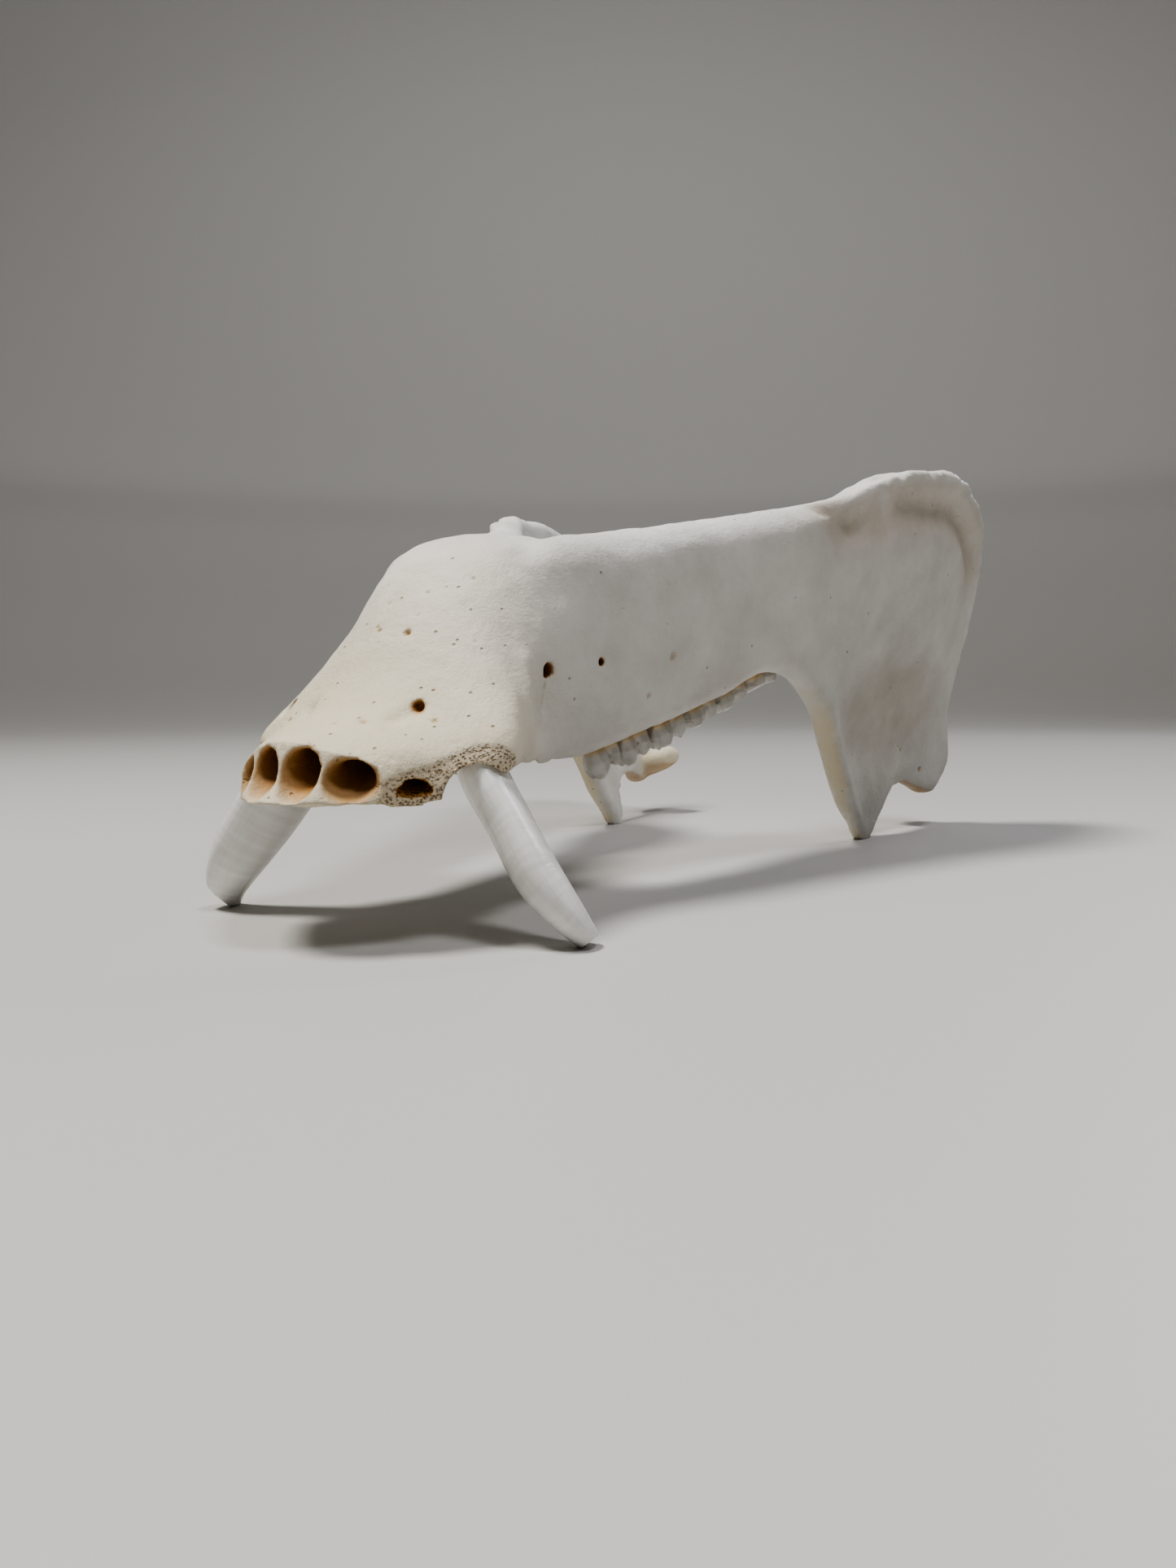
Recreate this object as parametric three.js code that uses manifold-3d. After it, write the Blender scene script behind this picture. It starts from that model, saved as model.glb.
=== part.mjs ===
// Lower jaw of an adult male wild boar, cleaned and bleached, standing upside down on the tips of
// its two tusks and its two coronoid processes. Millimetres, +Z up. The chin points to -Y and the
// animal's right side is +X. The cheek teeth stand in their sockets; the incisors are missing.
import * as THREE from "three";
import { LoftGeometry } from "three/addons/geometries/LoftGeometry.js";
import { mergeVertices } from "three/addons/utils/BufferGeometryUtils.js";
import Module from "manifold-3d";

const wasm = await Module();
wasm.setup();

// Driving dimensions
const FIT_GAP = 0.3; // clearance of a tooth in its socket
const RIB_STEPS = 1; // rings from one rib of the side wall to the next
const RIB_POINTS = 16; // points round a rib
const CHIN_STEPS = 1; // rings from one section of the chin to the next
const CHIN_POINTS = 2; // points from one outline point of a chin section to the next
const FLOOR_Z = 0; // both tusks and both coronoid tips are cut flat here and stand on it
const LEFT_ANGLE_DROP = 5; // the left angle is this much lower than the right one
const ORIGIN_Y = -0.7; // the tables' Y at the part's origin, which is mid-length

const ivory = new THREE.MeshStandardMaterial({ color: 0xe8dfcb, roughness: 0.62, metalness: 0 });
const tuskWhite = new THREE.MeshStandardMaterial({ color: 0xf2efe8, roughness: 0.22, metalness: 0 });
const toothGrey = new THREE.MeshStandardMaterial({ color: 0xd8d5cf, roughness: 0.35, metalness: 0 });

// One rib of the side wall: the point on its lower border of the living jaw (here on top), the point
// on its tooth border (here below), and its thickness near the first, in the middle and near the last.
const RIBS = [
  { top: [12, -87, 84], low: [23, -91, 38], thick: [12, 14, 6] },
  { top: [19, -72, 90.5], low: [24, -77, 36.5], thick: [16, 16.5, 6] },
  { top: [26, -55, 93.5], low: [23, -62, 37.2], thick: [17, 20, 11] },
  { top: [33, -36, 97], low: [26, -45, 41.2], thick: [16, 20, 14] },
  { top: [40.5, -16, 100.8], low: [29.2, -26, 46], thick: [15, 20, 17] },
  { top: [48, 2, 104.5], low: [32.6, -6, 51.3], thick: [14, 20, 18] },
  { top: [55, 17, 108], low: [38, 3, 56], thick: [13.5, 19, 17] },
  { top: [61, 30, 112], low: [45, 11, 58.5], thick: [13, 16, 13] },
  { top: [67, 41, 118.4], low: [48.5, 20, 56], thick: [12.5, 13, 10] },
  { top: [71.7, 51, 120.8], low: [49.5, 30, 51], thick: [12, 11, 9] },
  { top: [76.5, 65, 122.5], low: [49.8, 40, 44.5], thick: [12, 9, 8.5] },
  { top: [80, 82, 124.3], low: [49.4, 50, 34], thick: [12, 8, 8] },
  { top: [81.5, 99, 122.6], low: [49.2, 60, 23], thick: [11, 7.5, 7.5] },
  { top: [81.6, 116, 117.5], low: [49.2, 70, 13.7], thick: [10.5, 7, 7] },
  { top: [80.5, 129, 109], low: [49.4, 82.5, 5.3], thick: [10, 6.5, 6] },
  { top: [78, 137, 97], low: [49.7, 94.5, -2], thick: [9, 6.5, 5] },
  { top: [74.8, 140.5, 82], low: [51.2, 99, 5], thick: [8.5, 6.5, 4] },
  { top: [71.5, 142, 68], low: [53.2, 101.5, 12.5], thick: [8, 7, 4] },
  { top: [68.5, 142, 55], low: [55.2, 108, 17.5], thick: [7.5, 7.5, 4.5] },
  { top: [66.5, 144, 46], low: [56.5, 118, 18.5], thick: [8, 8, 5] },
  { top: [65.5, 148, 38], low: [58.5, 126, 16.5], thick: [10, 9, 7] },
  { top: [65.5, 150, 30], low: [60.5, 133, 14], thick: [12, 11, 9] },
  { top: [65, 148, 22], low: [62, 139, 12.5], thick: [12, 12, 10] },
];

// One section of the chin across X: the height of the chin's skin side on the midline, the upper
// side, widest point, socket border and inner side as [x, z], and the inner side on the midline.
const CHIN = [
  { y: -151.6, skin: 33.5, half: [[2.2, 33.3], [3.6, 32.6], [3.2, 31.6], [1.5, 31.2]], inner: 31 },
  { y: -150, skin: 37.5, half: [[3.5, 36.8], [6.2, 34.5], [5.6, 31.1], [3, 30.8]], inner: 31 },
  { y: -148, skin: 41.3, half: [[5, 40], [9, 36.5], [8.8, 30.8], [4.5, 30.7]], inner: 31.6 },
  { y: -145, skin: 43.2, half: [[7.5, 41.6], [12.6, 37], [12.8, 30.7], [7, 31]], inner: 33 },
  { y: -139, skin: 44.6, half: [[10.5, 42.2], [17.6, 37.4], [18, 30.3], [10, 33]], inner: 36 },
  { y: -131, skin: 47, half: [[13.5, 45], [22.6, 39.8], [24, 29.6], [12, 36]], inner: 40.5 },
  { y: -123, skin: 51.3, half: [[14, 49], [27.6, 41.8], [30.5, 32.5], [13, 40.5]], inner: 45 },
  { y: -116, skin: 58, half: [[15, 54.8], [33, 44.8], [33.5, 35.5], [14, 44.5]], inner: 49.5 },
  { y: -108, skin: 69.3, half: [[15.5, 63.6], [31.8, 49.4], [31, 36.5], [14.5, 49.5]], inner: 55 },
  { y: -100, skin: 78.4, half: [[16.4, 72.2], [28.5, 53], [27.5, 36.5], [15, 54]], inner: 60 },
  { y: -92, skin: 85.8, half: [[17.9, 79.9], [28, 58], [26, 36.5], [15.5, 58]], inner: 65 },
  { y: -84, skin: 90.5, half: [[19.4, 85.5], [28, 62], [25, 36.5], [16, 62]], inner: 70 },
  { y: -76, skin: 92, half: [[20.4, 88.4], [27, 72], [23, 60], [15, 69]], inner: 76 },
  { y: -69, skin: 90.5, half: [[17, 88.5], [22, 81], [19, 77], [10, 79]], inner: 80 },
];

// Tusk: centre points from the root end to the tip, with the half width along and across the section.
const TUSK = [
  { at: [16.8, -97, 56], half: [6, 4.2] },
  { at: [20.2, -104, 47.5], half: [7.8, 4.9] },
  { at: [26.6, -111.6, 37], half: [9.9, 5.7] },
  { at: [34, -114.4, 25], half: [9.1, 5.6] },
  { at: [41.9, -115.8, 14.5], half: [7.5, 5.1] },
  { at: [48.4, -114.2, 6.3], half: [5.4, 3.8] },
  { at: [52.7, -110.2, -0.6], half: [2.6, 2.0] },
];
const TUSK_LONG_AXIS = [0.55, -0.83, 0];
const TUSK_POINTS = 12;
const TUSK_STEPS = 2;

// Cheek tooth row: a line on the socket border, and the teeth from front to back.
const ROW = [[22.6, -62, 37.6], [27.5, -36, 43.9], [32, -6, 52], [36.5, 48, 67]];
const TOOTH_SPACE = 0.4; // left between two neighbouring crowns
const TEETH = [
  { name: "premolar_2", length: 12.2, width: 5.6, height: 9, lobes: 2, rows: 1 },
  { name: "premolar_3", length: 12.4, width: 6.8, height: 8.8, lobes: 2, rows: 1 },
  { name: "premolar_4", length: 15.6, width: 9, height: 8.2, lobes: 2, rows: 2 },
  { name: "molar_1", length: 15.8, width: 10.6, height: 7.2, lobes: 2, rows: 2 },
  { name: "molar_2", length: 17, width: 12.4, height: 7, lobes: 2, rows: 2 },
  { name: "molar_3", length: 34, width: 14.4, height: 6.6, lobes: 4, rows: 2 },
];
const ROOT_DEPTH = 7;
const SOCKET_POINTS = 12;

// Incisor sockets from the blind end to the mouth: middle of the hollow, half width and half height.
// Past the mouth the hollow goes on as an open gutter. The third socket is a small broken one.
const SOCKETS = [
  [
    { at: [3.9, -123, 47.3], half: [1.6, 1.3] },
    { at: [4.1, -135, 41.9], half: [3, 2.8] },
    { at: [4.3, -143, 37.8], half: [3.4, 2.9] },
    { at: [4.5, -146.5, 37.7], half: [3.5, 4.8] },
    { at: [4.6, -150, 39], half: [3.6, 7.2] },
    { at: [4.6, -154, 42], half: [3.7, 10.5] },
  ],
  [
    { at: [9.8, -121, 46.4], half: [1.6, 1.3] },
    { at: [11.4, -131, 40.8], half: [3.7, 3.2] },
    { at: [12.8, -138, 36.2], half: [3.8, 2.8] },
    { at: [13.8, -142, 35.9], half: [4.2, 4.2] },
    { at: [14.8, -146, 36.8], half: [4.8, 6] },
    { at: [16.4, -151, 39.5], half: [5.6, 9] },
  ],
  [
    { at: [19, -122, 37.5], half: [1, 0.9] },
    { at: [20.5, -127, 35.2], half: [1.9, 1.6] },
    { at: [22.2, -131.5, 32.2], half: [2.4, 2] },
    { at: [24, -136, 28.5], half: [3.2, 2.8] },
  ],
];

// Openings for nerves and vessels: a point outside, a point inside the wall, and the radius.
const FORAMINA = [
  { from: [22, -128, 53], to: [13, -120, 47], radius: 1.2 },
  { from: [34, -88, 57], to: [20, -84, 54], radius: 1.5 },
];

const vec = (p) => new THREE.Vector3(p[0], p[1], p[2]);

// Points on a smooth curve that runs through the given points.
function through(points, steps, closed = false) {
  const curve = new THREE.CatmullRomCurve3(points, closed, "catmullrom");
  const count = (closed ? points.length : points.length - 1) * steps;
  const last = closed ? count - 1 : count;
  return Array.from({ length: last + 1 }, (_, i) => curve.getPoint(i / count));
}

const ramp = THREE.MathUtils.smoothstep;

// The left side of the jaw: the mirror image, except that its angle is a little lower.
function leftOf(p) {
  const drop = LEFT_ANGLE_DROP * ramp(p.y, 10, 75) * ramp(p.z, 55, 118);
  return vec([-p.x, p.y, p.z - drop]);
}

const mirrored = (rings) => rings.map((ring) => ring.map(leftOf).reverse());

// Every point of a ring drawn in to the ring's middle, which closes the end of a skin.
function pinched(ring) {
  const middle = ring.reduce((sum, p) => sum.add(p), vec([0, 0, 0])).divideScalar(ring.length);
  return ring.map(() => middle);
}

// A closed solid skinned over a row of rings.
function skin(rings) {
  const geometry = new LoftGeometry([pinched(rings[0]), ...rings, pinched(rings.at(-1))]);
  const bare = new THREE.BufferGeometry();
  bare.setAttribute("position", geometry.getAttribute("position"));
  bare.setIndex(geometry.index);
  const merged = mergeVertices(bare, 1e-4);
  const triVerts = [];
  for (let i = 0; i < merged.index.count; i += 3) {
    const corners = [0, 1, 2].map((k) => merged.index.getX(i + k));
    if (new Set(corners).size === 3) triVerts.push(...corners);
  }
  return new wasm.Manifold(
    new wasm.Mesh({
      numProp: 3,
      vertProperties: merged.attributes.position.array,
      triVerts: new Uint32Array(triVerts),
    }),
  );
}

function meshOf(body, name, material) {
  const { vertProperties, triVerts } = body.getMesh();
  const geometry = new THREE.BufferGeometry();
  geometry.setAttribute("position", new THREE.BufferAttribute(vertProperties, 3));
  geometry.setIndex(new THREE.BufferAttribute(triVerts, 1));
  const faceted = geometry.toNonIndexed();
  faceted.translate(0, -ORIGIN_Y, 0);
  faceted.computeVertexNormals();
  const mesh = new THREE.Mesh(faceted, material);
  mesh.name = name;
  return mesh;
}

// A thin plate's section: round at both edges, with its own thickness at each edge and the middle.
function plateRing(top, low, thick, along) {
  const edge = low.clone().sub(top);
  const length = edge.length();
  edge.normalize();
  const across = edge.clone().cross(along).normalize();
  const [a, m, b] = [thick.x / 2, thick.y / 2, thick.z / 2];
  const round = (q) => (q < 1 ? Math.sqrt(Math.max(0, q * (2 - q))) : 1);
  return Array.from({ length: RIB_POINTS }, (_, k) => {
    const angle = (2 * Math.PI * k) / RIB_POINTS;
    const u = (1 - Math.cos(angle)) / 2;
    const body = a * (1 - u) * (1 - 2 * u) + m * 4 * u * (1 - u) + b * u * (2 * u - 1);
    const half = body * round((u * length) / a) * round(((1 - u) * length) / b);
    const side = Math.abs(Math.sin(angle)) < 1e-9 ? 0 : Math.sign(Math.sin(angle));
    return top.clone().addScaledVector(edge, u * length).addScaledVector(across, side * half);
  });
}

// The right side wall: body, angle, coronoid process and neck, swept from the chin to the condyle.
function sideRings() {
  const tops = through(RIBS.map((r) => vec(r.top)), RIB_STEPS);
  const lows = through(RIBS.map((r) => vec(r.low)), RIB_STEPS);
  const thick = through(RIBS.map((r) => vec(r.thick)), RIB_STEPS);
  const middle = tops.map((p, i) => p.clone().lerp(lows[i], 0.5));
  return tops.map((top, i) => {
    const before = middle[Math.max(0, i - 1)];
    const after = middle[Math.min(middle.length - 1, i + 1)];
    return plateRing(top, lows[i], thick[i], after.clone().sub(before).normalize());
  });
}

function chinRings() {
  const rows = CHIN.map(({ y, skin: skinZ, half, inner }) => {
    const right = half.map(([x, z]) => vec([x, y, z]));
    const left = half.map(([x, z]) => vec([-x, y, z])).reverse();
    return [vec([0, y, skinZ]), ...right, vec([0, y, inner]), ...left];
  });
  const outlines = rows.map((row) => through(row, CHIN_POINTS, true));
  const columns = outlines[0].map((_, k) => through(outlines.map((o) => o[k]), CHIN_STEPS));
  return columns[0].map((_, i) => columns.map((column) => column[i]));
}

// A round bar that changes radius between two points, with its own up direction and flattening.
function barRings(points, radii, sides, flatten = 1) {
  return points.map((point, i) => {
    const before = points[Math.max(0, i - 1)];
    const after = points[Math.min(points.length - 1, i + 1)];
    const along = after.clone().sub(before).normalize();
    const u = new THREE.Vector3(0, 0, 1).cross(along).normalize();
    const w = along.clone().cross(u);
    return Array.from({ length: sides }, (_, k) => {
      const angle = (2 * Math.PI * k) / sides;
      return point
        .clone()
        .addScaledVector(u, radii[i] * Math.cos(angle) * flatten)
        .addScaledVector(w, radii[i] * Math.sin(angle));
    });
  });
}

const CONDYLE_LENGTHS = [44.5, 46, 50, 56, 62, 67, 69.5];
const CONDYLE_RADII = [2, 5, 7, 7.2, 6.8, 5, 2];

function condyleRings() {
  const points = CONDYLE_LENGTHS.map((x) => vec([x, 138 + 0.12 * (x - 44), 21.5 - 0.09 * (x - 44)]));
  return barRings(points, CONDYLE_RADII, 12, 1.35);
}

// The shelf of bone that carries the last molar inside the rising branch.
function shelfRings() {
  const points = [[33, -14, 60], [36, 8, 68], [39, 28, 74], [46, 44, 80], [62, 58, 88]].map(vec);
  return barRings(points, [8, 11, 11, 9, 4], 12, 1);
}

// Rings of a tusk, kept square to its curve. The section is a triangle with very round corners.
function tuskRings(grow) {
  const points = through(TUSK.map((t) => vec(t.at)), TUSK_STEPS);
  const halves = through(TUSK.map((t) => vec([...t.half, 0])), TUSK_STEPS);
  return points.map((point, i) => {
    const before = points[Math.max(0, i - 1)];
    const after = points[Math.min(points.length - 1, i + 1)];
    const along = after.clone().sub(before).normalize();
    const wide = vec(TUSK_LONG_AXIS);
    wide.addScaledVector(along, -wide.dot(along)).normalize();
    const narrow = along.clone().cross(wide);
    return Array.from({ length: TUSK_POINTS }, (_, k) => {
      const angle = (2 * Math.PI * k) / TUSK_POINTS;
      const swell = 1 - 0.16 * Math.cos(angle);
      return point
        .clone()
        .addScaledVector(wide, (halves[i].x + grow) * Math.cos(angle))
        .addScaledVector(narrow, (halves[i].y * swell + grow) * Math.sin(angle));
    });
  });
}

// Local frame of each tooth on the row: middle of its socket border, along, outwards and crownwards.
function toothFrames() {
  const row = new THREE.CatmullRomCurve3(ROW.map(vec), false, "catmullrom");
  const total = row.getLength();
  let start = TOOTH_SPACE;
  return TEETH.map((tooth) => {
    const t = (start + tooth.length / 2) / total;
    start += tooth.length + TOOTH_SPACE;
    const along = row.getTangentAt(t).normalize();
    const out = vec([along.y, -along.x, 0]).normalize();
    return { origin: row.getPointAt(t), along, out, crown: along.clone().cross(out).normalize() };
  });
}

// Rings of a rounded block on a tooth's frame: each level has a height and a share of full size.
function blockRings({ origin, along, out, crown }, length, width, levels, sides, shift = [0, 0]) {
  return levels.map(([height, share]) => {
    const middle = origin
      .clone()
      .addScaledVector(crown, height)
      .addScaledVector(along, shift[0])
      .addScaledVector(out, shift[1]);
    return Array.from({ length: sides }, (_, k) => {
      const angle = (2 * Math.PI * (k + 0.5)) / sides;
      const box = (c) => Math.sign(c) * Math.abs(c) ** 0.75;
      return middle
        .clone()
        .addScaledVector(along, (length / 2) * share * box(Math.cos(angle)))
        .addScaledVector(out, (width / 2) * share * box(Math.sin(angle)));
    });
  });
}

function toothBody(tooth, frame) {
  const { length, width, height, lobes, rows } = tooth;
  const levels = [[-ROOT_DEPTH, 0.72], [0, 0.96], [height * 0.5, 0.95]];
  let body = skin(blockRings(frame, length, width, levels, 8));
  const pitch = length / lobes;
  for (let lobe = 0; lobe < lobes; lobe++) {
    for (let row = 0; row < rows; row++) {
      const along = (lobe + 0.5 - lobes / 2) * pitch * 0.96;
      const out = rows === 1 ? 0 : (row - 0.5) * width * 0.5;
      const cusp = [[height * 0.3, 1], [height, 0.4]];
      const across = rows === 1 ? width : width * 0.5;
      body = body.add(skin(blockRings(frame, pitch, across, cusp, 6, [along, out])));
    }
  }
  return body;
}

function toothSocket(tooth, frame) {
  const levels = [[-ROOT_DEPTH - FIT_GAP, 0.74], [-1, 1], [tooth.height * 1.2, 1.05]];
  return skin(blockRings(frame, tooth.length + 2 * FIT_GAP, tooth.width + 2 * FIT_GAP, levels, 8));
}

// Everything below a height, as one large block to cut with.
function below(z) {
  const corners = [[-200, -200], [200, -200], [200, 250], [-200, 250]];
  return skin([-50, z].map((level) => corners.map(([x, y]) => vec([x, y, level]))));
}

function bothSides(rings) {
  return [skin(rings), skin(mirrored(rings))];
}

function incisorSockets() {
  return SOCKETS.flatMap((socket) =>
    bothSides(
      socket.map(({ at, half }) =>
        Array.from({ length: SOCKET_POINTS }, (_, k) => {
          const angle = (2 * Math.PI * k) / SOCKET_POINTS;
          return vec([at[0] + half[0] * Math.cos(angle), at[1], at[2] + half[1] * Math.sin(angle)]);
        }),
      ),
    ),
  );
}

function nerveOpenings() {
  return FORAMINA.flatMap(({ from, to, radius }) =>
    bothSides(barRings([vec(from), vec(to)], [radius, radius * 0.8], 8)),
  );
}

const frames = toothFrames();

function jawBone() {
  let bone = skin(chinRings());
  for (const rings of [sideRings(), condyleRings(), shelfRings()])
    for (const body of bothSides(rings)) bone = bone.add(body);
  for (const body of bothSides(tuskRings(FIT_GAP))) bone = bone.subtract(body);
  TEETH.forEach((tooth, i) => {
    const socket = toothSocket(tooth, frames[i]);
    bone = bone.subtract(socket).subtract(mirrorOf(socket));
  });
  for (const body of [...incisorSockets(), ...nerveOpenings()]) bone = bone.subtract(body);
  return bone.subtract(below(FLOOR_Z));
}

// The same solid on the other side of the jaw.
function mirrorOf(body) {
  const { vertProperties, triVerts } = body.getMesh();
  const flipped = vertProperties.map((value, i) => (i % 3 === 0 ? -value : value));
  const turned = triVerts.map((_, i) => triVerts[i % 3 === 1 ? i + 1 : i % 3 === 2 ? i - 1 : i]);
  return new wasm.Manifold(
    new wasm.Mesh({ numProp: 3, vertProperties: flipped, triVerts: turned }),
  );
}

const jaw = new THREE.Group();
const bone = meshOf(jawBone(), "jaw_bone", ivory);
jaw.add(bone);

const tusk = skin(tuskRings(0)).subtract(below(FLOOR_Z));
jaw.add(meshOf(tusk, "tusk_right", tuskWhite));
jaw.add(meshOf(mirrorOf(tusk), "tusk_left", tuskWhite));

TEETH.forEach((tooth, i) => {
  const body = toothBody(tooth, frames[i]);
  jaw.add(meshOf(body, tooth.name + "_right", toothGrey));
  jaw.add(meshOf(mirrorOf(body), tooth.name + "_left", toothGrey));
});

export default jaw;
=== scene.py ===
import math

import bmesh
import bpy
import numpy as np
from mathutils import Matrix, Vector, noise
from mathutils.bvhtree import BVHTree
from numpy.linalg import norm


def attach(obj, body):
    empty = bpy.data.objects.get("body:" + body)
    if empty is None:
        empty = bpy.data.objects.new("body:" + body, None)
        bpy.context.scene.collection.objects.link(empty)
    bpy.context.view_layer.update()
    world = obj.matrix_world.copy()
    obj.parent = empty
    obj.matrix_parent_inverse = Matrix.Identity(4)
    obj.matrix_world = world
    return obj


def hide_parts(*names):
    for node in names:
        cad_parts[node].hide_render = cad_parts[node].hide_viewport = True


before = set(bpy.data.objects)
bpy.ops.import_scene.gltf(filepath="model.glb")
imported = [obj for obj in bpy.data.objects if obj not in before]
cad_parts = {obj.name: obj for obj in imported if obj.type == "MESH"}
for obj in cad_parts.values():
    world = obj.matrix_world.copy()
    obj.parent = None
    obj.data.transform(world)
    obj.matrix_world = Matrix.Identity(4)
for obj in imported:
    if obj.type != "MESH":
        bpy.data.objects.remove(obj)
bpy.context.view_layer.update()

# The tables are in millimetres, in the way the solids' own tables are.
MM = 0.001
ORIGIN = np.array((0, -0.7, 0))  # the part's origin in the tables' coordinates
FLOOR_Z = 0

# The size of the faces of each skin, and how many triangles the bone ends with.
BASE_SKIN = 1.3
FINE_SKIN = 0.5
TOOTH_SKIN = 0.3
BONE_TRIANGLES = 190000

# The left angle is this much lower than the right one, and the drop sets in over this Y and this Z.
LEFT_ANGLE_DROP = 5
ANGLE_DROP_Y = (10, 75)
ANGLE_DROP_Z = (55, 118)

# One rib of the side wall: its point on the living jaw's lower border (here on top), the one on the
# tooth border (here below), and its thickness near the first, in the middle and near the last.
RIBS = [
    (12, -87, 84, 23, -91, 38, 12, 14, 6),
    (19, -72, 90.5, 24, -77, 36.5, 16, 16.5, 6),
    (26, -55, 93.5, 23, -62, 37.2, 17, 20, 11),
    (33, -36, 97, 26, -45, 41.2, 16, 20, 14),
    (40.5, -16, 100.8, 29.2, -26, 46, 15, 20, 17),
    (48, 2, 104.5, 32.6, -6, 51.3, 14, 20, 18),
    (55, 17, 108, 38, 3, 56, 13.5, 19, 17),
    (61, 30, 112, 45, 11, 58.5, 13, 16, 13),
    (67, 41, 118.4, 48.5, 20, 56, 12.5, 13, 10),
    (71.7, 51, 120.8, 49.5, 30, 51, 12, 11, 9),
    (76.5, 65, 122.5, 49.8, 40, 44.5, 12, 9, 8.5),
    (80, 82, 124.3, 49.4, 50, 34, 12, 8, 8),
    (81.5, 99, 122.6, 49.2, 60, 23, 11, 7.5, 7.5),
    (81.6, 116, 117.5, 49.2, 70, 13.7, 10.5, 7, 7),
    (80.5, 129, 109, 49.4, 82.5, 5.3, 10, 6.5, 6),
    (78, 137, 97, 49.7, 94.5, -2, 9, 6.5, 5),
    (74.8, 140.5, 82, 51.2, 99, 5, 8.5, 6.5, 4),
    (71.5, 142, 68, 53.2, 101.5, 12.5, 8, 7, 4),
    (68.5, 142, 55, 55.2, 108, 17.5, 7.5, 7.5, 4.5),
    (66.5, 144, 46, 56.5, 118, 18.5, 8, 8, 5),
    (65.5, 148, 38, 58.5, 126, 16.5, 10, 9, 7),
    (65, 150, 30, 60.5, 133, 14, 11, 10, 9),
    (63.5, 148, 22, 61, 139, 13.5, 9, 9, 8),
]

# One section of the chin across X: its Y, the height of the skin side on the midline, the upper side,
# widest point, socket border and inner side as (x, z), and the inner side on the midline.
CHIN = [
    (-151.6, 33.5, ((2.2, 33.3), (3.6, 32.6), (3.2, 31.6), (1.5, 31.2)), 31),
    (-150, 37.5, ((3.5, 36.8), (6.2, 34.5), (5.6, 31.1), (3, 30.8)), 31),
    (-148, 41.3, ((5, 40), (9, 36.5), (8.8, 30.8), (4.5, 30.7)), 31.6),
    (-145, 43.2, ((7.5, 41.6), (12.6, 37), (12.8, 30.7), (7, 31)), 33),
    (-139, 44.6, ((10.5, 42.2), (17.6, 37.4), (18, 30.3), (10, 33)), 36),
    (-131, 47, ((13.5, 45), (22.6, 39.8), (24, 29.6), (12, 36)), 40.5),
    (-123, 51.3, ((14, 49), (27.6, 41.8), (30.5, 32.5), (13, 40.5)), 45),
    (-116, 58, ((15, 54.8), (33, 44.8), (33.5, 35.5), (14, 44.5)), 49.5),
    (-108, 69.3, ((15.5, 63.6), (31.8, 49.4), (31, 36.5), (14.5, 49.5)), 55),
    (-100, 78.4, ((16.4, 72.2), (28.5, 53), (27.5, 36.5), (15, 54)), 60),
    (-92, 85.8, ((17.9, 79.9), (28, 58), (26, 36.5), (15.5, 58)), 65),
    (-84, 90.5, ((19.4, 85.5), (28, 62), (25, 36.5), (16, 62)), 70),
    (-76, 92, ((20.4, 88.4), (27, 72), (23, 60), (15, 69)), 76),
    (-69, 90.5, ((17, 88.5), (22, 81), (19, 77), (10, 79)), 80),
]
# The rear border of the chin is a round bay: at this X it lies this much further back than on the
# midline, and the bend starts at this Y.
CHIN_REAR = (20, 13, -88)

# Tusk: centre points from the root end to the tip, with the half width along and across the section.
TUSK = [
    (16.8, -97, 56, 6, 4.2),
    (19.6, -104.2, 47.5, 7.6, 4.9),
    (25.3, -112.2, 37, 8.9, 5.4),
    (34.1, -114.3, 25, 8.7, 5.1),
    (41.9, -115.8, 14.5, 7.5, 5.1),
    (48.4, -114.2, 6.3, 5.4, 3.8),
    (52.7, -110.2, -0.6, 2.6, 2),
]
TUSK_LONG_AXIS = (0.55, -0.83, 0)
TUSK_HALF_WIDTH = 9
# Its section, as shares of the half width; the turn and the ridge's width are in radians.
TUSK_BODY = 0.98
TUSK_CORNERS = 0.03
TUSK_RIDGE = 0.025
TUSK_FLATTER = 0.14
CORNER_TURN = 0.4
RIDGE_WIDTH = 0.22
# The worn face at each tip, in the right side's coordinates: a point of it and the way it faces.
TUSK_WEAR = {1: ((51.5, -110.5, 1.5), (0.6, 0.2, -0.77)), -1: ((52.5, -112, 3), (0.7, -0.4, -0.6))}

# The tusk's socket leaves the clearance all round, and the room on the chin's side over this Z.
TUSK_CLEARANCE = 0.4
SOCKET_MOUTH_ROOM = 1.6
SOCKET_MOUTH_Z = (44, 35)
# The notch in the front wall through which a tusk comes out: inner and outer end of its axis, its
# half height and how much wider it is.
TUSK_NOTCH = ((22, -107.9, 30.3), (40, -135.1, 30.3)), 7.8, 0.96
# The bone over a tusk's root: the height it ends at, and its thickness on each side.
SLEEVE_END_Z = 38.5
SLEEVE_RIGHT = 2.7
SLEEVE_LEFT = 1.6

# Cheek teeth: a line on the socket border, and each tooth's length, width, height, lobes and rows.
ROW = [(22.6, -62, 37.6), (27.5, -36, 43.9), (32, -6, 52), (36.5, 48, 67)]
TOOTH_SPACE = 0.4
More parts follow.
